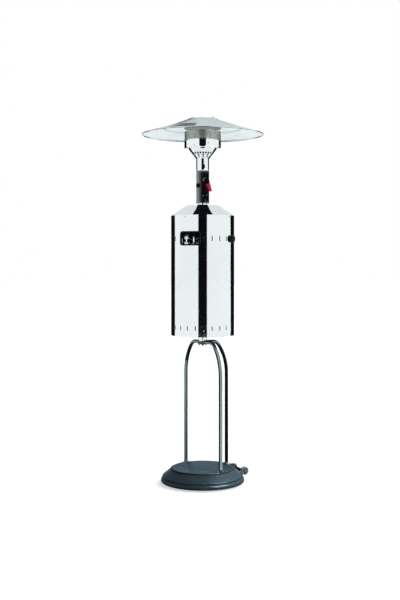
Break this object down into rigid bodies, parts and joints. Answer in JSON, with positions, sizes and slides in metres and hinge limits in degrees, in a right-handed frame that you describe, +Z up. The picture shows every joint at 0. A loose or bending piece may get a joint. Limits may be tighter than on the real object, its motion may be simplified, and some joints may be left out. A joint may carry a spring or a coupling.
{
  "type": "patio heater",
  "caption": "Free-standing gas patio heater: reflector over a mesh burner, control knob, bottle housing sliding on the post, bent tube legs, weighted base with wheels.",
  "frame": {"origin": "on the floor under the middle of the round base", "axes": "+Z up along the post; -Y is the front, towards the viewer; +X to the viewer's right"},
  "size_m": [0.73, 0.73, 2.1847],
  "materials": {
    "slate_paint": "satin",
    "concrete": "rough",
    "foot_rubber": "matt",
    "leg_paint": "satin metallic",
    "dark_screw": "satin",
    "polished_steel": "polished",
    "plain_steel": "satin",
    "valve_brass": "machined",
    "bracket_paint": "satin",
    "wheel_plastic": "moulded",
    "control_paint": "satin",
    "black_plastic": "moulded",
    "lever_plastic": "glossy",
    "burner_casting": "as cast",
    "mesh_steel": "woven",
    "reflector_sheet": "satin"
  },
  "bodies": {
    "stand": {"base_pan": "slate_paint", "rubber_feet": "foot_rubber", "ballast_slab": "concrete", "base_cover": "slate_paint", "top_plate": "slate_paint", "leg_feet": "leg_paint", "leg_foot_screws": "dark_screw", "leg_front_right": "leg_paint", "leg_rear_right": "leg_paint", "leg_rear_left": "leg_paint", "leg_hub": "leg_paint", "hub_bolts": "dark_screw", "post_end_plug": "plain_steel", "post": "polished_steel", "gas_inlet": "valve_brass", "gas_pipe": "valve_brass", "wheel_bracket": "bracket_paint", "wheel_axle": "plain_steel", "axle_caps": "wheel_plastic", "control_base": "control_paint", "control_sleeve": "control_paint", "control_top": "control_paint", "valve_bracket": "plain_steel", "valve_body": "valve_brass", "igniter_barrel": "plain_steel", "igniter_ring": "black_plastic", "tilt_switch": "black_plastic", "gas_injector": "valve_brass", "mixing_tube": "plain_steel", "burner_head": "burner_casting", "thermocouple": "plain_steel", "spark_electrode": "plain_steel", "neck_tube": "polished_steel", "burner_funnel": "polished_steel", "burner_drum": "polished_steel", "emitter_mesh": "mesh_steel", "deflector_plate": "plain_steel", "drum_screws": "plain_steel", "reflector_studs": "plain_steel", "reflector_front": "reflector_sheet", "reflector_right": "reflector_sheet", "reflector_rear": "reflector_sheet", "reflector_left": "reflector_sheet", "reflector_rivets": "reflector_sheet", "reflector_cap": "reflector_sheet", "cap_nuts": "plain_steel"},
    "guide": {"guide_bush": "black_plastic", "guide_nut": "black_plastic"},
    "housing": {"housing_shell": "polished_steel", "housing_cone": "polished_steel", "housing_joint_ring": "plain_steel", "housing_screws": "plain_steel", "window_bezel": "black_plastic", "grip_knob": "black_plastic"},
    "control_stem": {"valve_spindle": "plain_steel"},
    "control_knob": {"knob_hub": "black_plastic", "control_lever": "lever_plastic"},
    "igniter": {"igniter_button": "black_plastic"},
    "near_wheel": {"wheel_near": "wheel_plastic"},
    "far_wheel": {"wheel_far": "wheel_plastic"}
  },
  "joints": [
    {"name": "housing_slide", "type": "slide", "parent": "stand", "child": "guide", "axis": [0, 0, 1], "range_m": [-0.7922, 0]},
    {"name": "housing_turn", "type": "hinge", "parent": "guide", "child": "housing", "pos_m": [0, 0, 1.655], "axis": [0, 0, 1], "continuous": true},
    {"name": "control_turn", "type": "hinge", "parent": "stand", "child": "control_stem", "pos_m": [0.02167, -0.0383, 1.801], "axis": [-0.4924, 0.8704, 0], "range_deg": [0, 190]},
    {"name": "control_push", "type": "slide", "parent": "control_stem", "child": "control_knob", "axis": [-0.4924, 0.8704, 0], "range_m": [0, 0.004], "stiffness_N_per_m": 800},
    {"name": "igniter_push", "type": "slide", "parent": "stand", "child": "igniter", "axis": [0.6947, 0.7193, 0], "range_m": [0, 0.005], "stiffness_N_per_m": 900},
    {"name": "near_wheel_spin", "type": "hinge", "parent": "stand", "child": "near_wheel", "pos_m": [0.25489, 0.09124, 0.05], "axis": [-0.5373, 0.8434, 0], "continuous": true},
    {"name": "far_wheel_spin", "type": "hinge", "parent": "stand", "child": "far_wheel", "pos_m": [0.19042, 0.19245, 0.05], "axis": [-0.5373, 0.8434, 0], "continuous": true}
  ]
}
